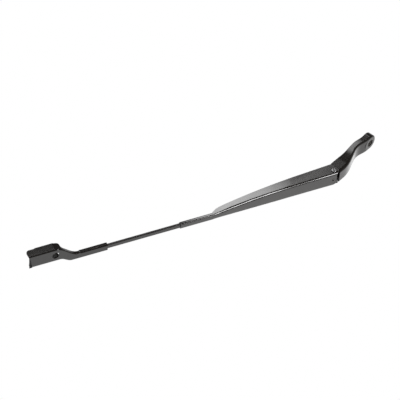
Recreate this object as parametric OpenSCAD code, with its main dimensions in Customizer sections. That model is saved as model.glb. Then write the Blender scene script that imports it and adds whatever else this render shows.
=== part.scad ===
// Front wiper arm: cast head, sprung hinge, folded channel, flat rod and blade bracket.
// The row origin is on the spindle axis at the lug's seat, +Z leaves along the spindle,
// +X runs out towards the blade. The arm is drawn relaxed, hanging on its hinge stop.

/* [Head] */
// Distance from the spindle axis to the hinge pin
hinge_reach = 92; // [88:1:100]
// Height of the hinge pin above the lug's seat
hinge_height = 12.3; // [12:0.1:13.5]
// Radius of the bore that takes the spindle
spindle_r = 6; // [4:0.5:7]
// Outer radius of the lug
lug_r = 12.8; // [12:0.1:13.5]
// Thickness of the lug at the spindle
lug_t = 11.5; // [10:0.5:13]
// Thickness of the neck where the head is thinnest
neck_t = 9.4; // [8:0.2:10]
// Height of the head's back just before the hinge
shoulder_h = 20.5; // [19.9:0.1:21.5]
// Wall left round the pocket in the head's underside
head_wall = 3; // [2.4:0.2:3.6]
// Thickness of the ribs in that pocket
rib_t = 2; // [1.4:0.2:2.6]

/* [Hinge] */
// Angle of the relaxed arm below the lug's plane
droop = 27; // [22:1:30]
// Angle through which the arm lifts from its relaxed stop
lift = 90; // [84:1:94]
// Radius of the hinge rivet's shank
pin_r = 2.5; // [2.2:0.1:2.8]
// Radius of the rivet's formed heads
pin_head_r = 4.3; // [3.8:0.1:5]
// Height of the rivet's formed heads
pin_head_t = 1.6; // [1.2:0.1:2]
// Outer radius of the head's knuckle round the rivet
knuckle_r = 5.9; // [5.5:0.1:6]
// Wall of each hinge bush
bush_wall = 0.8; // [0.6:0.1:1]
// Thickness of the bush's thrust flange
flange_t = 0.8; // [0.6:0.1:1]
// Width of the slot between the head's two cheeks
slot_w = 9; // [8.6:0.2:10]

/* [Spring and hook] */
// Distance of the hook's cross pin below the hinge rivet
hook_arm = 7.6; // [7.4:0.1:7.8]
// Radius of the cross pin
cross_r = 1.9; // [1.6:0.1:2]
// Thickness of the hook's strap
strap_t = 1.8; // [1.6:0.1:2]
// Width of the hook's strap
strap_w = 7; // [6:0.2:7.6]
// Length from the cross pin to the hole that takes the spring
hook_l = 20; // [19:0.5:24]
// Outer diameter of the spring's coils
spring_od = 10; // [8:0.5:10.5]
// Diameter of the spring's wire
wire_d = 1.8; // [1.4:0.1:2]

/* [Channel] */
// Outer width of the channel at the hinge
channel_w = 24.8; // [24:0.2:28]
// Depth of the channel's side walls at the hinge
channel_d = 21.1; // [20:0.2:23]
// Depth of the side walls where they meet the crimp
tail_d = 10.5; // [9:0.5:12]
// Length from the hinge to the crimp
channel_l = 207; // [190:1:230]
// Length of the crimp round the rod
crimp_l = 55; // [40:1:70]
// Thickness of the channel's sheet
sheet_t = 1.2; // [1:0.1:1.5]
// Outer radius of the channel's long folds
fold_r = 2.2; // [1.8:0.1:3]
// Height of the channel's back above the rivet
back_h = 7.4; // [7.4:0.1:8.4]
// Distance that the channel's back laps over the rivet
lap = 1.6; // [1:0.1:3]
// Distance by which the back's end slants away from the hinge on its far side
back_slant = 3.4; // [2:0.1:4]
// Radius of the ears round the rivet
ear_r = 7.4; // [7:0.1:8]

/* [Rod] */
// Width of the flat rod
rod_w = 7.6; // [7:0.2:9]
// Thickness of the flat rod
rod_t = 3.8; // [3.4:0.2:4.4]
// Length of the rod between the crimp and the bracket
rod_free = 122; // [90:1:160]
// Height of the rod's centre above the rivet
rod_z = 10.8; // [10.4:0.1:11.2]
// Slope of the rod's end that holds the spring
tab_slope = 14; // [12:1:15]
// Length of that end
tab_l = 24; // [22:0.5:28]
// Radius of the spring's hole in that end
tab_hole_r = 2; // [1.8:0.1:2.2]

/* [Blade bracket] */
// Outer width of the channel that holds the blade
claw_w = 24.4; // [22:0.2:26]
// Length of that channel
claw_l = 52; // [44:1:60]
// Depth of its side walls
claw_d = 14.6; // [12:0.2:16]
// Height of the land on the side walls' free edges
land_h = 0.9; // [0.4:0.1:1.4]
// Sideways distance from the rod to the middle of the channel
claw_shift = 15.5; // [12:0.5:18]
// Length of the neck between the clamp and the channel
neck_l = 36; // [32:1:44]
// Depth of the rims along the neck
rim_d = 5.6; // [4.6:0.2:7]
// Length of the clamp round the rod
clamp_l = 46; // [36:1:56]
// Thickness of the bracket's sheet
claw_t = 1.8; // [1.4:0.1:2.2]
// Radius of the hole for the blade's button
button_r = 6; // [4.5:0.5:6.5]
// Distance of that hole from the channel's inner end
button_x = 6.5; // [6.5:0.5:20]

/* [Hidden] */
// Clearance of a shaft that turns in a bore
running = 0.03;
// Clearance between folded sheet and what it grips
grip = 0.05;
// Gap between pieces that swing past each other
swing = 0.35;
// Height by which the machined seats of the lug stand proud of the casting
pad = 0.12;
// Amount by which a cut runs past the surface it opens
past = 1;
// Length of cuts that run right out of the part
clear_out = 60;
// Width of the bushes' thrust flanges
flange_w = 1.7;
// Ribs across the head's pocket
cross_ribs = 3;
$fn = 64;

// Inner half width of the channel and the half width of the head's cheeks
ear_in = channel_w / 2 - sheet_t;
cheek_y = ear_in - 0.2 - flange_t;
// Bush radii
bush_in = pin_r + running;
bush_out = bush_in + bush_wall;
// Crimp and clamp round the rod
rod_top = rod_z + rod_t / 2;
crimp_w = rod_w + 2 * sheet_t;
crimp_h = rod_t + 2 * sheet_t;
crimp_top = rod_top + sheet_t;
clamp_x = channel_l + crimp_l + rod_free;
clamp_w = rod_w + 2 * claw_t;
clamp_top = rod_top + claw_t;
claw_x = clamp_x + clamp_l + neck_l;
claw_end = claw_x + claw_l;
short_end = 2;
// Hole in the rod's end that holds the spring
eye_margin = 3.2;
tab_t = rod_t - 0.8;
tab_w = rod_w - 0.6;
anchor_x = channel_l - (tab_l - eye_margin) * cos(tab_slope);
anchor_z = rod_z - (tab_l - eye_margin) * sin(tab_slope);
// Line of the spring's pull, closed and fully lifted, in the arm's own frame
pull_angle = atan2(anchor_z + hook_arm, anchor_x);
pull_l = norm([anchor_x, anchor_z + hook_arm]);
open_x = -hook_arm * sin(lift);
open_z = -hook_arm * cos(lift);
open_angle = atan2(anchor_z - open_z, anchor_x - open_x);
// Where the rivet stands in the hook's own frame when the arm is fully lifted
nest_angle = 90 - lift - open_angle;
nest_x = hook_arm * cos(nest_angle);
nest_z = hook_arm * sin(nest_angle);
// Straight rear edge of the ears: its lower end, its distance from the rivet and its facing
ear_foot = [-1.6, back_h - channel_d];
ear_reach = 0.96 * ear_r;
ear_facing = atan2(ear_foot[1], ear_foot[0]) - acos(ear_reach / norm(ear_foot));
// Centre of the cross pin, in the head's frame
cross_x = hinge_reach - hook_arm * sin(droop);
cross_z = hinge_height - hook_arm * cos(droop);

// Eases from 0 to 1 as t goes from 0 to 1
function ease(t) = t <= 0 ? 0 : t >= 1 ? 1 : t * t * (3 - 2 * t);

// Smooth curve through the points p, given as [x, value]
function span_of(p, x, i = 0) = i >= len(p) - 2 || x < p[i + 1][0] ? i : span_of(p, x, i + 1);
function grade(p, i) =
    let (a = p[max(i - 1, 0)], b = p[min(i + 1, len(p) - 1)]) (b[1] - a[1]) / (b[0] - a[0]);
function curve(p, x) =
    let (i = span_of(p, x), w = p[i + 1][0] - p[i][0], t = (x - p[i][0]) / w)
    p[i][1] * (1 + 2 * t) * pow(1 - t, 2) + w * grade(p, i) * t * pow(1 - t, 2)
    + p[i + 1][1] * t * t * (3 - 2 * t) - w * grade(p, i + 1) * t * t * (1 - t);

// Points of an arc about c
function arc(c, r, from, to, steps) =
    [for (i = [0 : steps]) c + r * [cos(from + (to - from) * i / steps), sin(from + (to - from) * i / steps)]];
// Rectangle with round corners, its middle at the origin
function round_rect(w, h, r, steps = 6) = concat(
    arc([w / 2 - r, h / 2 - r], r, 0, 90, steps), arc([-w / 2 + r, h / 2 - r], r, 90, 180, steps),
    arc([-w / 2 + r, -h / 2 + r], r, 180, 270, steps), arc([w / 2 - r, -h / 2 + r], r, 270, 360, steps));
function mirrored(p) = [for (i = [len(p) - 1 : -1 : 0]) [-p[i][0], p[i][1]]];
function placed(p, x) = [for (q = p) [x, q[0], q[1]]];
function backwards(p) = [for (i = [len(p) - 1 : -1 : 0]) p[i]];

// Skin through rings of equal length; point i of a ring faces point n-1-i across the section
module loft(rings) {
    n = len(rings[0]);
    m = len(rings);
    half = n / 2;
    skin = [for (k = [0 : m - 2], i = [0 : n - 1])
        let (a = k * n + i, b = k * n + (i + 1) % n) each [[a, a + n, b], [b, a + n, b + n]]];
    start = [for (i = [0 : half - 2]) each [[i, i + 1, n - 1 - i], [i + 1, n - 2 - i, n - 1 - i]]];
    last = [for (f = start) [f[0], f[2], f[1]] + (m - 1) * n * [1, 1, 1]];
    polyhedron([for (r = rings) each r], concat(skin, start, last));
}

// Profile in the x-z plane, carried across the arm
module across(width) {
    rotate([90, 0, 0]) linear_extrude(width, center = true) children();
}
// Profile in the y-z plane, carried along the arm from x
module along(x, length) {
    translate([x, 0, 0]) rotate([90, 0, 90]) linear_extrude(length) children();
}
// Round bar or bore across the arm
module cross_bar(x, z, r, width) {
    translate([x, 0, z]) rotate([90, 0, 0]) cylinder(r = r, h = width, center = true);
}
// Moves what is drawn in the arm's frame, with the rivet at its origin, to its relaxed place
module on_arm() {
    translate([hinge_reach, 0, hinge_height]) rotate([0, droop, 0]) children();
}

// Head: half width, back, underside and edge radius along its length
head_end = hinge_reach + knuckle_r;
function head_half(x) = curve([[0, lug_r - 0.1], [18, lug_r + 0.1], [46, lug_r - 1.3], [66, channel_w / 2 - 0.1],
    [76, channel_w / 2], [head_end, channel_w / 2]], x);
function head_back(x) = curve([[0, lug_t - pad], [9, lug_t - 0.4], [24, neck_t - 1.2], [33, neck_t - 0.6],
    [43, neck_t + 2.7], [52, neck_t + 6.1], [62, shoulder_h - 1.8], [71, shoulder_h - 0.2],
    [80, shoulder_h], [head_end, shoulder_h - 0.6]], x);
function head_base(x) = curve([[0, pad], [11, pad], [26, -1.9], [56, 0], [78, -0.4], [head_end, -0.6]], x);
function head_edge(x) = 2.6 + 1.6 * ease((x - 20) / 40);

// Half of the head's section at x, from its base round one side to its back, inset by a wall
function head_side(x, wall, base) =
    let (w = head_half(x) - wall, top = head_back(x) - wall, r = max(head_edge(x) - wall, 0.6), b = 1)
    concat(arc([w - b, base + b], b, -90, 0, 3), arc([w - r, top - r], r, 0, 90, 7));
function head_ring(x, wall = 0, base = 0) =
    let (side = head_side(x, wall, base)) placed(concat(side, mirrored(side)), x);

// Pocket cast into the underside, left open below
pocket_from = lug_r + 8;
pocket_to = hinge_reach - 16;
module pocket() {
    difference() {
        loft([for (i = [0 : 14]) let (x = pocket_from + (pocket_to - pocket_from) * i / 14)
            head_ring(x, head_wall, -4)]);
        for (i = [1 : cross_ribs])
            translate([pocket_from + (pocket_to - pocket_from) * i / (cross_ribs + 1), 0, 0])
                cube([rib_t, clear_out, clear_out], center = true);
        translate([0, -rib_t / 2, -clear_out / 2]) cube([hinge_reach, rib_t, clear_out]);
    }
}

// Round and straight rear edge of an ear, drawn larger by a gap
module ear_side(gap) {
    facing = [cos(ear_facing), sin(ear_facing)];
    foot = ear_foot + gap * facing;
    circle(ear_r + gap);
    polygon([(ear_reach + gap) * facing, foot, [foot[0], -clear_out], [clear_out, -clear_out],
        [clear_out, clear_out / 2], [-lap, clear_out / 2], [-lap, 0]]);
}

// Space that the channel's ears need beside the cheeks, drawn in the arm's frame
module ear_room() {
    for (s = [-1, 1])
        translate([0, s * (cheek_y + channel_w / 2), 0]) across(channel_w) ear_side(swing);
}

// Knuckle and cheeks in profile, in the head's frame
module knuckle() {
    boss_r = cross_r + 2.3;
    root_h = hinge_height - 1.2;
    polygon([[hinge_reach - 15, 1], [cross_x, cross_z - boss_r], [cross_x + boss_r - 0.1, cross_z],
        [hinge_reach + knuckle_r - 0.1, hinge_height], [hinge_reach, hinge_height],
        [hinge_reach - knuckle_r + 0.5, root_h], [hinge_reach - 15, root_h]]);
    translate([hinge_reach, hinge_height]) circle(knuckle_r);
    translate([cross_x, cross_z]) circle(boss_r);
}

// Space that the hook sweeps between the cheeks, in the head's frame
module hook_room() {
    rest_side = -droop - 48;
    open_side = lift - droop + 8;
    translate([cross_x, cross_z]) {
        circle(cross_r + strap_t + swing);
        polygon([[0, 0], 40 * [cos(rest_side), sin(rest_side)], [60, -20], [60, 60],
            40 * [cos(open_side), sin(open_side)]]);
    }
}

// Space that the channel's back sweeps over the knuckle, in the head's frame
module back_room() {
    back_r = back_h + swing;
    facing = 90 - droop + lift;
    translate([hinge_reach, hinge_height]) {
        circle(norm([lap, back_h]) + swing);
        polygon([back_r * [cos(facing), sin(facing)],
            back_r * [cos(facing), sin(facing)] + 40 * [sin(facing), -cos(facing)], [60, 40], [60, -40],
            [0, -40], [0, 0]]);
    }
}

module spindle_lug() {
    rotate_extrude($fn = 96)
        polygon(concat([[0, 0]], arc([lug_r - 1, 1], 1, -90, 0, 3),
            arc([lug_r - head_edge(0), lug_t - head_edge(0)], head_edge(0), 0, 90, 7), [[0, lug_t]]));
}

module head() {
    color([0.13, 0.13, 0.13]) difference() {
        union() {
            difference() {
                union() {
                    spindle_lug();
                    loft([for (i = [0 : 30]) let (x = head_end * i / 30) head_ring(x, 0, head_base(x))]);
                }
                pocket();
                across(2 * channel_w) back_room();
            }
            across(2 * cheek_y + 1) knuckle();
        }
        on_arm() ear_room();
        // Bore for the spindle
        translate([0, 0, -past]) cylinder(r = spindle_r, h = lug_t + 2 * past);
        // Slot for the hook, and bores for the bushes and the cross pin
        across(slot_w) hook_room();
        cross_bar(hinge_reach, hinge_height, bush_out, 2 * channel_w);
        cross_bar(cross_x, cross_z, cross_r, 2 * channel_w);
    }
}

// Flanged bush in one cheek; side is -1 on the near cheek and 1 on the far one
module hinge_bush(side) {
    length = cheek_y - slot_w / 2;
    color([0.85, 0.83, 0.78]) translate([hinge_reach, side * slot_w / 2, hinge_height])
        rotate([-90 * side, 0, 0]) difference() {
            union() {
                cylinder(r = bush_out, h = length);
                translate([0, 0, length]) cylinder(r = bush_out + flange_w, h = flange_t);
            }
            translate([0, 0, -past]) cylinder(r = bush_in, h = length + flange_t + 2 * past);
        }
}
module hinge_bush_near() { hinge_bush(-1); }
module hinge_bush_far() { hinge_bush(1); }

module cross_pin() {
    color([0.7, 0.7, 0.72]) cross_bar(cross_x, cross_z, cross_r, 2 * cheek_y - 0.4);
}

// Moves to the line of the spring's pull: origin on the cross pin, x towards the rod
module on_pull() {
    on_arm() translate([0, 0, -hook_arm]) rotate([0, -pull_angle, 0]) children();
}

// Hook: an eye round the cross pin, a bow that clears the rivet, and a tail for the spring
module spring_hook() {
    eye_in = cross_r + running + 0.02;
    eye_out = eye_in + strap_t;
    nest_in = pin_r + swing;
    nest_out = nest_in + strap_t;
    color([0.62, 0.62, 0.65]) on_pull() difference() {
        across(strap_w) difference() {
            union() {
                circle(eye_out);
                intersection() {
                    translate([nest_x, nest_z]) circle(nest_out);
                    polygon([[nest_x - nest_out, nest_z + 0.6], [nest_x - nest_out, nest_z - 20],
                        [nest_x + 20, nest_z - 20], [nest_x + 20, strap_t / 2], [nest_x, strap_t / 2],
                        [nest_x, nest_z]]);
                }
                translate([nest_x + nest_in, -strap_t / 2])
                    square([hook_l + eye_margin - nest_x - nest_in, strap_t]);
            }
            circle(eye_in);
            translate([nest_x, nest_z]) circle(nest_in);
            translate([nest_x - nest_in, nest_z]) square([2 * nest_in, strap_t + 3]);
            polygon([[0, 0], 9 * [cos(35), sin(35)], 9 * [cos(75), sin(75)], 9 * [cos(110), sin(110)]]);
        }
        translate([hook_l, 0, 0]) cylinder(r = tab_hole_r, h = 4 * tab_t, center = true);
    }
}

// Spring: close-wound turns with a turned-up loop at each end
module spring() {
    mean_r = (spring_od - wire_d) / 2;
    wire_r = wire_d / 2;
    coil_from = hook_l + 2 * mean_r + 0.4;
    coil_to = pull_l - 2 * mean_r - 0.4;
    turns = floor((coil_to - coil_from - wire_d) / (wire_d * 0.98));
    bulge = 70;
    pitch = (coil_to - coil_from - wire_d) / turns;
    color([0.55, 0.55, 0.57]) on_pull() {
        translate([coil_from + wire_r, 0, 0]) rotate([0, 90, 0]) rotate_extrude()
            polygon(concat(
                [for (i = [0 : turns]) each arc([mean_r, i * pitch], wire_r, -bulge, bulge, 4)],
                [for (i = [turns : -1 : 0]) each arc([mean_r, i * pitch], wire_r, 180 - bulge, 180 + bulge, 2)]));
        for (x = [hook_l + mean_r, pull_l - mean_r])
            translate([x, 0, 0]) rotate([90, 0, 0]) rotate_extrude()
                translate([mean_r, 0]) circle(wire_r, $fn = 24);
    }
}

// Channel: back line, half width and depth of the walls along the arm
function channel_back(x) = back_h + (crimp_top - back_h) * pow(max(x, 0) / channel_l, 2.4);
function channel_half(x) =
    crimp_w / 2 + (channel_w - crimp_w) / 2 * (1 - pow(max(x, 0) / channel_l, 2.8));
function wall_deep(x) = channel_d + (tail_d - channel_d) * max(x, 0) / channel_l;
function channel_deep(x) =
    wall_deep(x) + (crimp_h - wall_deep(x)) * ease((x - channel_l + 11) / 11);

function fold_path(half, top, base, r) = concat([[half, base]],
    arc([half - r, top - r], r, 0, 90, 5), arc([-half + r, top - r], r, 90, 180, 5), [[-half, base]]);
function channel_ring(x) =
    let (half = channel_half(x), top = channel_back(x), base = top - channel_deep(x))
    placed(concat(fold_path(half, top, base, fold_r),
        backwards(fold_path(half - sheet_t, top - sheet_t, base, fold_r - sheet_t))), x);

// What is cut off the channel's hinge end to leave the two ears
module ear_trim() {
    difference() {
        translate([-clear_out, -clear_out / 2]) square([clear_out + 1, clear_out]);
        ear_side(0);
    }
}

module crimp_tube(x, length, wall, r) {
    along(x, length) difference() {
        translate([0, rod_z]) polygon(round_rect(rod_w + 2 * wall, rod_t + 2 * wall, r));
        translate([0, rod_z]) polygon(round_rect(rod_w + 2 * grip, rod_t + 2 * grip, rod_t / 4));
        translate([-0.5, rod_z - rod_t / 2 - wall - past]) square([1, wall + 2 * past]);
    }
}

module retainer() {
    steps = 26;
    color([0.15, 0.15, 0.15]) on_arm() difference() {
        union() {
            loft([for (i = [-1 : steps]) let (x = i < 0 ? -ear_r - 1 : channel_l * i / steps) channel_ring(x)]);
            crimp_tube(channel_l, crimp_l, sheet_t, fold_r * 0.8);
        }
        across(2 * channel_w) ear_trim();
        // Back laps over the rivet and ends between the ears, its far corner cut away
        translate([-20 - lap, -ear_in, -20]) cube([20, 2 * ear_in, 60]);
        translate([0, 0, back_h - fold_r]) linear_extrude(10)
            polygon([[-lap - 5, -ear_in / 2], [-lap, -ear_in / 2], [back_slant - lap, ear_in],
                [back_slant - lap, channel_w], [-lap - 5, channel_w]]);
        cross_bar(0, 0, pin_r + grip / 2, 2 * channel_w);
        // Slot in the back
        translate([2.8, -2.6, 0]) cube([2.4, 4.4, 20]);
    }
}

// Rivet with a formed, dimpled head outside each ear
module hinge_rivet() {
    outside = channel_w / 2;
    color([0.16, 0.16, 0.16]) translate([hinge_reach, 0, hinge_height]) {
        rotate([90, 0, 0]) cylinder(r = pin_r, h = 2 * outside, center = true);
        for (s = [-1, 1])
            rotate([-90 * s, 0, 0]) translate([0, 0, outside]) rotate_extrude()
                polygon(concat([[0, -0.2], [pin_r, -0.2], [pin_r, 0]],
                    arc([pin_head_r - 0.9, pin_head_t - 0.9], 0.9, 0, 90, 5) + [for (i = [0 : 5]) [0, 0]],
                    [[1.6, pin_head_t], [1, pin_head_t - 0.6], [0, pin_head_t - 0.6]]));
    }
}

// Flat rod, its inner end set down and pierced for the spring
module rod() {
    color([0.15, 0.15, 0.15]) on_arm() {
        along(channel_l, crimp_l + rod_free + clamp_l - 2)
            translate([0, rod_z]) polygon(round_rect(rod_w, rod_t, rod_t / 4));
        translate([channel_l, 0, rod_z]) rotate([0, -tab_slope, 0]) difference() {
            translate([-tab_l, -tab_w / 2, -tab_t / 2]) cube([tab_l + 0.6, tab_w, tab_t]);
            translate([-tab_l + eye_margin, 0, 0]) cylinder(r = tab_hole_r, h = 4 * tab_t, center = true);
        }
    }
}

// Plan of the bracket: its near and far edges, drawn in the arm's frame
function near_edge(x) = -clamp_w / 2
    - (claw_shift + claw_w / 2 - clamp_w / 2) * ease((x - clamp_x - clamp_l - 2) / (neck_l + 4));
function far_edge(x) = clamp_w / 2
    - (claw_shift - claw_w / 2 + clamp_w / 2) * ease((x - claw_x + 0.62 * neck_l) / (0.55 * neck_l));
function bracket_plan(from, to, inset, steps = 24) = concat(
    [for (i = [0 : steps]) let (x = from + (to - from) * i / steps) [x, near_edge(x) + inset]],
    [for (i = [steps : -1 : 0]) let (x = from + (to - from) * i / steps) [x, far_edge(x) - inset]]);
// Depth of the bracket's walls: low rims on the neck, deep walls with a land on the channel
function bracket_profile() = concat(
    [[clamp_x + clamp_l + 1.2, 0], [clamp_x + clamp_l + 1.2, -rim_d], [claw_x - 7, -rim_d]],
    arc([claw_x - 7, -rim_d - 3], 3, 90, 0, 4),
    arc([claw_x - 1, -claw_d + 3], 3, 180, 270, 4),
    [[claw_x + 5, -claw_d], [claw_x + 6, -claw_d - land_h], [claw_end - 16, -claw_d - land_h],
     [claw_end - 15, -claw_d]],
    arc([claw_end - 6, -claw_d + 6], 6, 270, 360, 5), [[claw_end, 0]]);

// Web of the bracket: its outer end stops short of the walls and is round at the far corner
module bracket_web(from) {
    corner = 6;
    difference() {
        polygon(bracket_plan(from, claw_end, 0));
        difference() {
            translate([claw_end - short_end - corner, far_edge(claw_end) - corner]) square(3 * corner);
            translate([claw_end - short_end - corner, far_edge(claw_end) - corner]) circle(corner);
        }
        translate([claw_end - short_end, near_edge(claw_end) + claw_t]) square([3 * corner, claw_w]);
    }
}

module blade_bracket() {
    plan_from = clamp_x + clamp_l;
    color([0.15, 0.15, 0.15]) on_arm() {
        crimp_tube(clamp_x, clamp_l, claw_t, 1.5);
        translate([0, 0, clamp_top]) difference() {
            union() {
                translate([0, 0, -claw_t]) linear_extrude(claw_t) bracket_web(plan_from);
                translate([plan_from - 1, -rod_w / 2, -claw_t]) cube([2, rod_w, claw_t]);
                intersection() {
                    translate([0, 0, -claw_d - 5]) linear_extrude(claw_d + 5) difference() {
                        polygon(bracket_plan(plan_from, claw_end, 0));
                        polygon(bracket_plan(plan_from - 3, claw_end + 3, claw_t));
                    }
                    across(2 * clear_out) polygon(bracket_profile());
                }
            }
            translate([claw_x + button_x, -claw_shift, -claw_t - past])
                cylinder(r = button_r, h = claw_t + 2 * past);
        }
    }
}

head();
hinge_bush_near();
hinge_bush_far();
cross_pin();
spring_hook();
spring();
retainer();
hinge_rivet();
rod();
blade_bracket();
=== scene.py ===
# %% [markdown]
# # A front wiper arm
# A wiper arm carries a blade across a windscreen. Its cast head is clamped on the wiper
# motor's spindle, a rivet joins the head to a folded steel channel, a spring under that
# channel pulls the arm towards the glass, and a flat rod ends in a folded bracket for the
# blade. This lesson dresses the arm's solid model in paint and steel, and sets up its picture.

# %% Load the solid model
import math

import bmesh
import bpy
from mathutils import Matrix, Vector


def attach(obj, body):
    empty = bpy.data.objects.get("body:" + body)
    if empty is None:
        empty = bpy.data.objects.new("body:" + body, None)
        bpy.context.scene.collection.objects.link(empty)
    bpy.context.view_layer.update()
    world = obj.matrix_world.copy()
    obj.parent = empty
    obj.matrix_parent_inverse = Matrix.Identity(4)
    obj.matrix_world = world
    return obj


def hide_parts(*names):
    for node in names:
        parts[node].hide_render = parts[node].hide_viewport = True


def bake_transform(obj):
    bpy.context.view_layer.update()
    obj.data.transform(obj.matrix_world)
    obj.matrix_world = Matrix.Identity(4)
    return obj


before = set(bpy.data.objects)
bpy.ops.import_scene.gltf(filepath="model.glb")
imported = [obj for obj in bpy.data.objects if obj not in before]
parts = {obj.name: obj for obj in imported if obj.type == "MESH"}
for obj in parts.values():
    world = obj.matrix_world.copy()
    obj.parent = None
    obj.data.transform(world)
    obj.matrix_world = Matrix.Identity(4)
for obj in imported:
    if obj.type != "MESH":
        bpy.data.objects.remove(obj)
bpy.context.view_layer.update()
MM = 0.001
print("parts:", sorted(parts))

# %% [markdown]
# ## The camera
# The photograph is taken from far off, so parallel edges stay parallel in it. A camera without
# perspective gives that flat look. It is also turned about its own axis: the arm runs down
# across the picture, although its head lies flat. One point of the arm, the middle of the
# lug's top, and its pixel in the photograph fix where the camera stands.

# %% Aim the camera
PICTURE_PX = 400
PX_PER_M = 663.6
LUG_TOP = Vector((0, 0, 11.5 * MM))
LUG_PIXEL = (370.3, 143.2)
CAMERA_FAR = 3.0

def stand(place, x_axis, y_axis, z_axis):
    """The matrix of an object at a place, with its own axes along three directions."""
    return Matrix.Translation(place) @ Matrix((x_axis, y_axis, z_axis)).transposed().to_4x4()

to_camera = Vector((0.584, -0.720, 0.376)).normalized()
right = Vector((-0.610, -0.084, 0.788))
right = (right - right.dot(to_camera) * to_camera).normalized()
up = to_camera.cross(right)
half_px = PICTURE_PX / 2
centre = (LUG_TOP + right * (half_px - LUG_PIXEL[0]) / PX_PER_M
          - up * (half_px - LUG_PIXEL[1]) / PX_PER_M)

camera_data = bpy.data.cameras.new("camera")
camera_data.type = "ORTHO"
camera_data.ortho_scale = PICTURE_PX / PX_PER_M
camera = bpy.data.objects.new("camera", camera_data)
bpy.context.collection.objects.link(camera)
camera.matrix_world = stand(centre + to_camera * CAMERA_FAR, right, up, to_camera)
bpy.context.scene.camera = camera
bpy.context.scene.view_settings.view_transform = "Standard"
print("picture: %.0f mm wide" % (camera_data.ortho_scale / MM))

# %% [markdown]
# ## Nodes written as Python
# The room and the finishes are both built from shader nodes. Two small classes let us write
# them as plain Python: adding two sockets makes an Add node, and so on for the other signs,
# and one method makes any other node. That reads far better than pages of links.

# %% A socket that does sums
class Socket:
    """A node's output. A sum with it adds a Math node."""

    def __init__(self, nodes, plug):
        self.nodes = nodes
        self.plug = plug

    def maths(self, operation, *others, clamp=False):
        values = dict(enumerate((self,) + others))
        return self.nodes.make("ShaderNodeMath", {"operation": operation, "use_clamp": clamp}, values)

    def __add__(self, other):
        return self.maths("ADD", other)

    def __sub__(self, other):
        return self.maths("SUBTRACT", other)

    def __rsub__(self, other):
        return self * -1 + other

    def __mul__(self, other):
        return self.maths("MULTIPLY", other)

    __radd__ = __add__
    __rmul__ = __mul__

    def larger(self, other):
        return self.maths("MAXIMUM", other)

    def clamped(self):
        """The value, kept between 0 and 1."""
        return self.maths("ADD", 0.0, clamp=True)

    def ease(self, low, high):
        """Goes smoothly from 0 to 1 as the value goes from low to high."""
        return self.nodes.make("ShaderNodeMapRange", {"interpolation_type": "SMOOTHSTEP"},
                               {"Value": self, "From Min": low, "From Max": high})

print("signs: + - *")

# %% A node tree with one method for any node
class Nodes:
    """A node tree. Its settings are set before its sockets are fed."""

    def __init__(self, tree):
        self.tree = tree

    def make(self, kind, settings=(), inputs=(), output=0):
        node = self.tree.nodes.new(kind)
        for name, value in dict(settings).items():
            setattr(node, name, value)
        for name, value in dict(inputs).items():
            self.feed(node.inputs[name], value)
        return Socket(self, node.outputs[output]) if node.outputs else node

    def feed(self, plug, value):
        """Links a socket into a plug, or writes a plain value on it."""
        if isinstance(value, Socket):
            self.tree.links.new(value.plug, plug)
        else:
            plug.default_value = value

    def colours(self, low, high, factor):
        """Goes from one colour to another as the factor goes from 0 to 1."""
        return self.make("ShaderNodeMix", {"data_type": "RGBA"},
                         {"Factor": factor, 6: (*low, 1), 7: (*high, 1)}, output=2)

print("any tree has:", [name for name in vars(Nodes) if name[0] != "_"])

# %% [markdown]
# ## Light
# Black paint shows hardly any colour of its own. What we see is the room in it: a face that
# mirrors a bright wall looks grey or white, and one that mirrors the dark side of the room
# stays black. Small lamps would only leave glints. So the lamps are large oval panels, each
# hung where one group of faces mirrors it: a broad one behind, for the faces that look up, a
# low one on the near side, for the arm's near walls, and one overhead that is close to the
# channel, so that its bright line falls on the channel's fold and on nothing else.

# %% Make one panel
ROOM_SIZE = 40.0
ARM_MIDDLE = (0.29, 0, -0.1)

def panel(name, direction, half_angle, brightness, distance=ROOM_SIZE, middle=ARM_MIDDLE,
          long_way=(0, 0, 1), long_angle=0):
    """An oval lamp that covers half_angle degrees to each side of a direction from the middle.

    Along long_way it covers long_angle degrees to each side, where that is given."""
    lamp = bpy.data.lights.new(name, "AREA")
    lamp.shape = "ELLIPSE"
    lamp.size = 2 * distance * math.tan(math.radians(long_angle or half_angle))
    lamp.size_y = 2 * distance * math.tan(math.radians(half_angle))
    oval_area = math.pi * lamp.size * lamp.size_y / 4
    lamp.energy = brightness * math.pi * oval_area
    place = bpy.data.objects.new(name, lamp)
    bpy.context.collection.objects.link(place)
    away = Vector(direction).normalized()
    across = away.cross(Vector(long_way)).normalized()
    place.matrix_world = stand(Vector(middle) + away * distance, across.cross(away), across, away)
    print("%s: %.1f by %.1f m" % (name, lamp.size, lamp.size_y))

# %% Hang the panels
FOLD_MIDDLE = (0.18, -0.01, -0.03)
LOW_SIDE = Vector((-0.424, -0.783, -0.454)).normalized()
# Half angle in degrees and brightness of each oval
LOW_OVALS = ((9.9, 4.4), (8.9, 3.3), (7.2, 1.4), (5, 0.9))

panel("back_wall", (-0.33, 0.80, 0.38), half_angle=24, brightness=0.8,
      long_way=(0.62, 0, 0.79), long_angle=40)
# Each smaller oval hangs 1 m behind the last one and shines through it, so the light adds up
# towards the middle. The channel's tapering side mirrors the rim near the head, and the middle
# near the rod, so its tone changes gradually
for step, (half_angle, brightness) in enumerate(LOW_OVALS):
    panel("low_side_%d" % step, LOW_SIDE, half_angle, brightness, distance=ROOM_SIZE + step)
panel("overhead", (0.015, -0.60, 0.80), half_angle=12, brightness=25,
      distance=1.0, middle=FOLD_MIDDLE, long_way=(0.891, 0, -0.454), long_angle=8)

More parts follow.
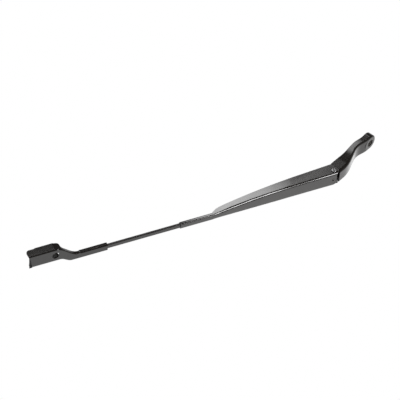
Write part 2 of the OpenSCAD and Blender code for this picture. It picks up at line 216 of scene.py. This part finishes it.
# %% [markdown]
# ## The room
# The photograph's ground is pure white, and it has no shadow, so no floor is needed: the world
# gives the white wherever the camera looks past the arm. Polished faces mirror that white only
# where they look backwards. On the near side they find a dark room, and that is what keeps the
# paint black. Light that comes softly from all round is a plain grey. Between the two sides
# the room turns from dark to white over a short way, so no reflection has a hard edge.

# %% White behind the arm, dim everywhere else
SOFT_GREY = (0.3, 0.3, 0.3)
NEAR_DARK = (0.09, 0.088, 0.085)
WHITE = (1, 1, 1, 1)
TURN_TO_WHITE = 3.0

world = bpy.data.worlds.new("room")
bpy.context.scene.world = world
world.use_nodes = True
world.node_tree.nodes.clear()
room = Nodes(world.node_tree)

def ray(kind):
    return room.make("ShaderNodeLightPath", output="Is %s Ray" % kind)

looking = room.make("ShaderNodeTexCoord", output="Generated")
backwards = room.make("ShaderNodeSeparateXYZ", inputs={0: looking}, output="Y")
behind = (backwards * TURN_TO_WHITE + 0.5).clamped()
shiny = ray("Glossy").larger(ray("Transmission"))
white_seen = ray("Camera").larger(shiny * behind)
dim = room.make("ShaderNodeBackground", inputs={"Color": room.colours(SOFT_GREY, NEAR_DARK, shiny)})
white = room.make("ShaderNodeBackground", inputs={"Color": WHITE})
mixed = room.make("ShaderNodeMixShader", inputs={0: white_seen, 1: dim, 2: white})
room.make("ShaderNodeOutputWorld", inputs={"Surface": mixed})
print("room:", len(world.node_tree.nodes), "nodes")

# %% [markdown]
# ## Finishes
# A finish could be painted as a picture, but every piece would then need its surface laid out
# flat. Patterns worked out by nodes need none of that, and are as fine as we like from close
# by. They are measured in the piece's own metres, so a patch has the same size on every piece.

# %% A recipe for one finish
class Recipe(Nodes):
    """The node tree of one new material."""

    def __init__(self, name):
        self.material = bpy.data.materials.new(name)
        self.material.use_nodes = True
        super().__init__(self.material.node_tree)
        self.shader = self.tree.nodes["Principled BSDF"]

    def noise(self, per_metre, detail, rough):
        """A cloudy pattern with so many patches to a metre."""
        return self.make("ShaderNodeTexNoise", {}, {
            "Vector": self.make("ShaderNodeTexCoord", output="Object"), "Scale": per_metre,
            "Detail": detail, "Roughness": rough})

    def bump(self, height, distance):
        return self.make("ShaderNodeBump", {}, {"Height": height, "Distance": distance})

    def set(self, **inputs):
        """Feeds the shader's sockets, and gives the finished material."""
        for name, value in inputs.items():
            self.feed(self.shader.inputs[name.replace("_", " ")], value)
        return self.material

def put_on(piece, material):
    piece.data.materials.clear()
    piece.data.materials.append(material)

print("a recipe adds:", [name for name in vars(Recipe) if name[0] != "_"])

# %% [markdown]
# ### Satin black paint
# The arm is primed, then sprayed with a black satin coat that is baked on. The coat levels
# out, but not fully: a faint orange peel, little more than a millimetre across, softens every
# reflection, and fine dust dulls the shine in spots. A plain black with one roughness would
# look like plastic, so cloudy patterns vary the tone and the shine by a little. The coat on
# the rough casting is the dullest, and the one on the folded bracket is the smoothest.

# %% Paint
CASTING_BLACK = (0.0105, 0.0092, 0.0082)
SHEET_BLACK = (0.0105, 0.0090, 0.0080)
CLOUDS, SPECKS, PEEL = 60, 900, 700
PEEL_HEIGHT = 0.001 * MM

def satin_paint(name, colour, rough, refraction=1.5):
    """Black paint. Its refraction sets how strongly it mirrors the room."""
    look = Recipe(name)
    cloud = look.noise(CLOUDS, detail=4, rough=0.55)
    dust = look.noise(SPECKS, detail=2, rough=0.6).ease(0.56, 0.74)
    dusty_colour = [part * 1.6 + 0.002 for part in colour]
    tone = (cloud.ease(0.3, 0.7) * 0.5 + dust * 0.25).clamped()
    return look.set(Base_Color=look.colours(colour, dusty_colour, tone),
                    Roughness=rough + (cloud - 0.5) * 0.04 + dust * 0.01,
                    Normal=look.bump(look.noise(PEEL, detail=2, rough=0.4), PEEL_HEIGHT),
                    IOR=refraction)

paint = {
    "head": satin_paint("head_paint", CASTING_BLACK, rough=0.18, refraction=1.33),
    "retainer": satin_paint("arm_paint", SHEET_BLACK, rough=0.12),
    "rod": satin_paint("rod_paint", SHEET_BLACK, rough=0.12, refraction=1.4),
    "blade_bracket": satin_paint("bracket_paint", SHEET_BLACK, rough=0.075, refraction=1.39),
}
print("painted:", sorted(paint))

# %% [markdown]
# ### Black plating on the rivet
# The rivet is set after the two halves are painted, so it has no paint, only a thin black
# plating on steel. The metal's gleam comes through it, which is why it is a dark metal here
# and not a darker paint.

# %% Plating
PLATING_PATCHES, PLATING_GRAIN = 400, 900
PLATING_HEIGHT = 0.003 * MM
PLATING_DARK, PLATING_LIGHT = (0.10, 0.10, 0.10), (0.26, 0.26, 0.265)

def rivet_plating():
    look = Recipe("rivet_plating")
    cloud = look.noise(PLATING_PATCHES, detail=4, rough=0.6)
    grain = look.noise(PLATING_GRAIN, detail=2, rough=0.4)
    return look.set(Base_Color=look.colours(PLATING_DARK, PLATING_LIGHT, cloud.ease(0.3, 0.7)),
                    Metallic=0.95,
                    Roughness=0.13 + (cloud - 0.5) * 0.06,
                    Normal=look.bump(grain, PLATING_HEIGHT))

paint["hinge_rivet"] = rivet_plating()
for node, material in paint.items():
    put_on(parts[node], material)
print("plated: hinge_rivet")

# %% [markdown]
# ### Steel and plastic inside the channel
# What the rain hardly reaches isn't painted. The spring is drawn wire in a film of oil, the
# hook is zinc-plated strip, the cross pin is plain steel, and the bushes are bearing plastic.
# One recipe with a few numbers serves for all the metals: a darker and a lighter tone, how
# dull it is and how coarse its grain is.

# %% Bare parts
FINER = 9
GRAIN_HEIGHT = 0.02 * MM

def metal(name, dark, light, rough, grain):
    """Bare metal with so many patches of grain to a metre, and a much finer grain on top."""
    look = Recipe(name)
    cloud = look.noise(grain, detail=4, rough=0.6)
    fine = look.noise(grain * FINER, detail=2, rough=0.5)
    return look.set(Base_Color=look.colours(dark, light, cloud.ease(0.25, 0.75)),
                    Roughness=rough + (fine - 0.5) * 0.14,
                    Metallic=1.0,
                    Normal=look.bump(fine, GRAIN_HEIGHT))

def plastic(name, colour, rough, patches=300):
    look = Recipe(name)
    cloud = look.noise(patches, detail=3, rough=0.5)
    shade = [part * 0.86 for part in colour]
    return look.set(Base_Color=look.colours(shade, colour, cloud),
                    Roughness=rough + (cloud - 0.5) * 0.1)

pin_steel = metal("pin_steel", (0.34, 0.34, 0.35), (0.55, 0.55, 0.56), rough=0.3, grain=200)
hook_steel = metal("hook_steel", (0.30, 0.30, 0.29), (0.48, 0.48, 0.46), rough=0.38, grain=160)
put_on(parts["cross_pin"], pin_steel)
put_on(parts["spring_hook"], hook_steel)
for side in ("near", "far"):
    put_on(parts["hinge_bush_" + side], plastic("bush_" + side, (0.72, 0.70, 0.63), rough=0.5))
spring_steel = metal("spring_steel", (0.10, 0.10, 0.105), (0.26, 0.26, 0.27), rough=0.34, grain=260)
put_on(parts["spring"], spring_steel)
print("materials:", len(bpy.data.materials))

# %% [markdown]
# ## The spring
# The real spring is one length of wire: a loop through the hook's hole, a short bend up into
# the coils, closely wound turns, and the same again through the hole in the rod. The solid
# model only outlines it. A spring could be cut from a screw-shaped tube, but its loops are the
# same wire bent another way. So the wire's centre line is drawn first: a Screw modifier winds
# a single point into turns, and each end is then spun round. A curve made from that line gets
# the wire's round section. Where its ends lie follows from the solid model's own sizes: the
# hinge, the hook, the channel, and the tab at the rod's inner end.

# %% Where the spring pulls
HINGE = Vector((92, 0, 12.3)) * MM
DROOP = math.radians(27)
HOOK_ARM = 7.6 * MM
HOOK_L = 20 * MM
CHANNEL_L = 207 * MM
ROD_Z = 10.8 * MM
TAB_SLOPE, TAB_REACH = math.radians(14), 20.8 * MM

def on_arm(x, y, z):
    """A point of the arm's own frame, whose origin is the hinge, in the model's frame."""
    return HINGE + Vector((x * math.cos(DROOP) + z * math.sin(DROOP), y,
                           z * math.cos(DROOP) - x * math.sin(DROOP)))

pin_centre = on_arm(0, 0, -HOOK_ARM)
rod_hole = on_arm(CHANNEL_L - TAB_REACH * math.cos(TAB_SLOPE), 0,
                  ROD_Z - TAB_REACH * math.sin(TAB_SLOPE))
pull = (rod_hole - pin_centre).normalized()
sideways = Vector((0, 1, 0))
over = pull.cross(sideways)
hook_hole = pin_centre + pull * HOOK_L
spring_l = (rod_hole - hook_hole).length
print("spring from hole to hole: %.1f mm" % (spring_l / MM))

# %% A helper for modifiers
def finish_with(piece, kind, **settings):
    """Adds a modifier to the active piece, sets it up and applies it."""
    bpy.ops.object.modifier_add(type=kind)
    modifier = piece.modifiers[-1]
    for name, value in settings.items():
        setattr(modifier, name, value)
    bpy.ops.object.modifier_apply(modifier=modifier.name)
    print(piece.name, kind.lower(), "->", len(piece.data.vertices), "points")

# %% Wind the turns from one point
WIRE_R, COIL_R, BEND_R = 0.88 * MM, 4.1 * MM, 1.4 * MM
NECK = 1.6 * MM
PITCH = 2.04 * WIRE_R
STEPS_PER_TURN = 28

start_angle = math.asin(BEND_R / COIL_R)
coil_from = 2 * COIL_R + NECK
coil_l = spring_l - 2 * coil_from
turns = int(coil_l / PITCH)

bpy.ops.object.select_all(action="DESELECT")
bpy.ops.mesh.primitive_plane_add(size=1 * MM)
wire = bpy.context.object
wire.name = "wound_spring"
bpy.ops.object.mode_set(mode="EDIT")
bpy.ops.mesh.merge(type="CENTER")
bpy.ops.transform.translate(value=(coil_from, COIL_R * math.sin(start_angle),
                                   COIL_R * math.cos(start_angle)))
bpy.ops.object.mode_set(mode="OBJECT")
finish_with(wire, "SCREW", axis="X", angle=2 * math.pi, iterations=turns,
            steps=STEPS_PER_TURN, render_steps=STEPS_PER_TURN, screw_offset=coil_l / turns)
print("turns:", turns)

# %% Take hold of the wire's ends
def pick_end(piece, far):
    """Selects only the wire's last point at one end, and tells where it is."""
    bpy.ops.object.mode_set(mode="OBJECT")
    points = piece.data.vertices
    edges_at = [0] * len(points)
    for edge in piece.data.edges:
        edge.select = False
        for number in edge.vertices:
            edges_at[number] += 1
    ends = sorted((point for point in points if edges_at[point.index] == 1),
                  key=lambda point: point.co.x)
    last = ends[-1] if far else ends[0]
    for point in points:
        point.select = point.index == last.index
    place = last.co.copy()
    bpy.ops.object.mode_set(mode="EDIT")
    bpy.ops.mesh.select_mode(type="VERT")
    return place

def sweep(piece, far, centre, axis, angle, steps):
    """Spins the wire's end about a centre, and tells where it has come to."""
    pick_end(piece, far)
    bpy.ops.mesh.spin(steps=steps, angle=angle, center=centre, axis=axis)
    return pick_end(piece, far)

print("ends at", [round(pick_end(wire, far).x / MM, 1) for far in (False, True)])

# %% Bend up and round at each end
BEND_STEPS, LOOP_STEPS = 6, 22
LOOP_ANGLE = math.radians(235)

for far in (False, True):
    way = 1 if far else -1
    hole_x = spring_l if far else 0.0
    tip = pick_end(wire, far)
    side = 1 if tip.y > 0 else -1
    # A quarter bend brings the wire over the middle, heading outwards
    bend = Vector((tip.x + way * BEND_R, tip.y, tip.z))
    outwards = Vector((0, tip.y, tip.z)).normalized()
    tip = sweep(wire, far, bend, outwards, -way * side * math.pi / 2, BEND_STEPS)
    # A straight stretch, then the loop
    loop_x = hole_x - way * tip.z
    bpy.ops.mesh.extrude_vertices_move(TRANSFORM_OT_translate={"value": (loop_x - tip.x, 0, 0)})
    tip = pick_end(wire, far)
    tip = sweep(wire, far, (loop_x, tip.y, 0), (0, 1, 0), way * LOOP_ANGLE, LOOP_STEPS)
    print("loop ends at", [round(value / MM, 2) for value in tip])
bpy.ops.object.mode_set(mode="OBJECT")

# %% Let the line sag a little
# With the arm lifted, the spring lies close to the channel's back, and this bow keeps it off
SAG = 1.0 * MM
for point in wire.data.vertices:
    along = min(max(point.co.x / spring_l, 0), 1)
    point.co.z -= SAG * math.sin(math.pi * along)
print("sag: %.1f mm in %.0f mm" % (SAG / MM, spring_l / MM))

# %% Give the line its round section and put it under the channel
bpy.ops.object.convert(target="CURVE")
wire = bpy.context.object
wire.data.bevel_depth = WIRE_R
wire.data.bevel_resolution = 1
wire.data.use_fill_caps = True
bpy.ops.object.convert(target="MESH")
wire = bpy.context.object
wire.matrix_world = stand(hook_hole, pull, sideways, over)
bpy.ops.object.transform_apply(location=True, rotation=True, scale=True)
bpy.ops.object.shade_smooth_by_angle(angle=math.radians(60))
put_on(wire, spring_steel)
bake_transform(wire)
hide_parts("spring")
print("spring:", len(wire.data.polygons), "faces")

# %% [markdown]
# ## Soft edges
# No edge of the real arm is sharp: the die rounds the casting, the punch rounds the sheet, and
# paint gathers on every corner. A thin bright or dark line along the edges is what makes the
# parts readable in the photograph. New meshes could be modelled for this, but they would drift
# from the solid model. So each painted part is copied, its loose triangles are merged, and its
# corners get a small bevel before the curves are shaded smoothly. The head, a casting with
# rounds of its own, needs no more than that.

# %% Copy a part and soften its edges
SHARP = math.radians(32)
FLAT = math.radians(0.6)
SAME_POINT = 0.002 * MM

def copy_of(node):
    """A copy of a part's mesh, active and with its loose triangles merged."""
    bpy.ops.object.select_all(action="DESELECT")
    piece = bpy.data.objects.new(node + "_finish", parts[node].data.copy())
    bpy.context.collection.objects.link(piece)
    piece.select_set(True)
    bpy.context.view_layer.objects.active = piece
    bpy.ops.object.mode_set(mode="EDIT")
    bpy.ops.mesh.select_all(action="SELECT")
    bpy.ops.mesh.remove_doubles(threshold=SAME_POINT)
    bpy.ops.object.mode_set(mode="OBJECT")
    return piece

def soften(node, body, radius, reshape=None, fold=None):
    """Dresses a copy of a part. Where given, reshape moves its points and fold rounds its folds."""
    piece = copy_of(node)
    if reshape:
        reshape(piece)
    bpy.ops.object.mode_set(mode="EDIT")
    bpy.ops.mesh.dissolve_limited(angle_limit=FLAT)
    if fold:
        fold(piece)
    bpy.ops.object.mode_set(mode="OBJECT")
    finish_with(piece, "BEVEL", width=radius, segments=2, limit_method="ANGLE", angle_limit=SHARP)
    bpy.ops.object.shade_smooth_by_angle(angle=SHARP)
    finish_with(piece, "WEIGHTED_NORMAL", keep_sharp=True)
    put_on(piece, paint[node])
    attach(piece, body)
    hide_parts(node)

soften("head", "head", 0.25 * MM)

# %% [markdown]
# ### The channel's folds
# Sheet steel is folded round a tool, so its outer corner is a broad curve, and the bright line
# along the channel's fold in the photograph is broader than the solid model's curve would
# give. Another bevel can't widen it, because the corner is a curve of small faces already. The
# points of that curve are moved away from the corner instead, all in proportion, so that it
# grows into a larger curve of the same shape.

# %% Places in the arm's own frame
arm_along = Vector((math.cos(DROOP), 0, -math.sin(DROOP)))
arm_up = Vector((math.sin(DROOP), 0, math.cos(DROOP)))

def arm_place(point):
    """How far a point lies from the hinge: along the arm, sideways and up."""
    offset = point - HINGE
    return offset.dot(arm_along), offset.y, offset.dot(arm_up)

print("rod's hole along the arm: %.1f mm" % (arm_place(rod_hole)[0] / MM))

# %% Widen the channel's folds
HINGE_W, CRIMP_W, NARROWING = 24.8 * MM, 10 * MM, 2.8
HINGE_TOP, CRIMP_TOP, RISE = 7.4 * MM, 13.9 * MM, 2.4
OLD_FOLD, NEW_FOLD = 2.2 * MM, 3.2 * MM
FOLD_ENDS, FADE = 1 * MM, 12 * MM
# How far past the old curve's ends, and off the curve, a point may lie and still be part of it
PAST_CURVE, OFF_CURVE = 0.02 * MM, 0.06 * MM

def channel_corner(x):
    """Half width and back height of the channel at x, as the solid model has them."""
    share = max(x, 0) / CHANNEL_L
    half_width = (CRIMP_W + (HINGE_W - CRIMP_W) * (1 - share ** NARROWING)) / 2
    return half_width, HINGE_TOP + (CRIMP_TOP - HINGE_TOP) * share ** RISE

def widen_folds(piece):
    """Swells the channel's outer folds, less and less where they run out into the crimp."""
    moved = 0
    for vertex in piece.data.vertices:
        x, y, z = arm_place(vertex.co)
        half_width, top = channel_corner(x)
        across, down = half_width - abs(y), top - z
        off_curve = abs(math.hypot(OLD_FOLD - across, OLD_FOLD - down) - OLD_FOLD)
        in_corner = max(across, down) < OLD_FOLD + PAST_CURVE
        if x < CHANNEL_L - FOLD_ENDS and in_corner and off_curve < OFF_CURVE:
            grow = (NEW_FOLD / OLD_FOLD - 1) * min(1, (CHANNEL_L - x) / FADE)
            side = 1 if y > 0 else -1
            vertex.co += Vector((0, -side * across * grow, 0)) - arm_up * down * grow
            moved += 1
    print("fold points moved:", moved)

soften("retainer", "arm", 0.25 * MM, reshape=widen_folds)

# %% [markdown]
# ### The rod and the rivet
# The rod is a drawn bar with just-broken edges, and the rivet's head is pressed smooth by the
# setting tool, so both need nothing more than the small bevel.

# %% Soften the rod and the rivet
soften("rod", "arm", 0.2 * MM)
soften("hinge_rivet", "arm", 0.15 * MM)

# %% [markdown]
# ### The blade bracket
# The bracket is folded from sheet too. Its two long folds between web and walls are found by
# the way that their faces look, since nothing else sets them apart in a bare mesh, and get a
# bevel that is much larger than that of the cut edges. The photograph also shows no far wall
# past the web's end, so that wall's last points are drawn back to a slanted line.

# %% Find the bracket's long folds
CLAMP_END, CLAMP_CLEAR = 430 * MM, 2 * MM
BUTTON_HOLE = on_arm(472.5 * MM, -15.5 * MM, 14.5 * MM)
BUTTON_CLEAR = 9 * MM
BRACKET_FOLD = 1.7 * MM

def is_long_fold(middle, normals):
    """Tells a fold between web and wall from the edges of clamp, button hole and ends."""
    web, wall = sorted(normals, key=lambda normal: -normal.dot(arm_up))
    web_looks_up = web.dot(arm_up) > 0.98
    wall_stands = abs(wall.dot(arm_up)) < 0.1
    wall_runs_along = abs(wall.dot(arm_along)) < 0.85
    past_clamp = arm_place(middle)[0] > CLAMP_END + CLAMP_CLEAR
    off_button = (middle - BUTTON_HOLE).length > BUTTON_CLEAR
    return web_looks_up and wall_stands and wall_runs_along and past_clamp and off_button

def round_long_folds(piece):
    """Bevels the long folds, in edit mode."""
    bpy.ops.mesh.select_mode(type="EDGE")
    bpy.ops.mesh.select_all(action="DESELECT")
    mesh = bmesh.from_edit_mesh(piece.data)
    for edge in mesh.edges:
        normals = [face.normal for face in edge.link_faces]
        middle = (edge.verts[0].co + edge.verts[1].co) / 2
        edge.select_set(len(normals) == 2 and is_long_fold(middle, normals))
    bmesh.update_edit_mesh(piece.data)
    print("fold edges:", sum(edge.select for edge in mesh.edges))
    bpy.ops.mesh.bevel(offset=BRACKET_FOLD, segments=4, affect="EDGES")

# %% Draw back the far wall and soften the bracket
WEB_Z = 14.5 * MM
WALL_END = 515.7 * MM
END_SLANT = 0.68
FAR_SIDE_Y = -5.3 * MM

def trim_far_wall(piece):
    """Draws the end of the far wall back to a slanted line behind the web's end."""
    moved = 0
    for vertex in piece.data.vertices:
        x, y, z = arm_place(vertex.co)
        limit = WALL_END - (WEB_Z - z) * END_SLANT
        if y > FAR_SIDE_Y and x > limit:
            vertex.co -= arm_along * (x - limit)
            moved += 1
    print("wall points moved:", moved)

soften("blade_bracket", "arm", 0.3 * MM, reshape=trim_far_wall, fold=round_long_folds)

# %% [markdown]
# ## The bore's serrations
# The spindle bites into the lug with fine teeth, and no paint reaches in there. Cutting them
# one by one would be slow, so a thin sleeve is made from a ring with two points to a tooth:
# every other point is drawn in, and the sleeve then gets its thickness.

# %% Cut the teeth
TEETH, TOOTH = 32, 0.45 * MM
BORE_R = 6.0 * MM
SLEEVE_L, SLEEVE_Z, SLEEVE_WALL = 10.3 * MM, 5.75 * MM, 0.3 * MM

bpy.ops.object.select_all(action="DESELECT")
bpy.ops.mesh.primitive_cylinder_add(vertices=2 * TEETH, radius=BORE_R, depth=SLEEVE_L,
                                    end_fill_type="NOTHING", location=(0, 0, SLEEVE_Z))
teeth = bpy.context.object
teeth.name = "bore_teeth"
bpy.ops.object.mode_set(mode="EDIT")
bpy.ops.mesh.select_all(action="SELECT")
bpy.ops.mesh.flip_normals()
bpy.ops.object.mode_set(mode="OBJECT")
bpy.ops.object.transform_apply(location=True, rotation=True, scale=True)
for point in teeth.data.vertices:
    number = round(math.atan2(point.co.y, point.co.x) * TEETH / math.pi)
    if number % 2:
        point.co.x *= 1 - TOOTH / BORE_R
        point.co.y *= 1 - TOOTH / BORE_R
finish_with(teeth, "SOLIDIFY", thickness=SLEEVE_WALL, offset=-1)
put_on(teeth, metal("bore_metal", (0.30, 0.29, 0.28), (0.50, 0.49, 0.47), rough=0.3, grain=180))
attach(teeth, "head")
print("teeth:", TEETH)

# %% [markdown]
# ## Sizes
# Dressing a model must not change its size.
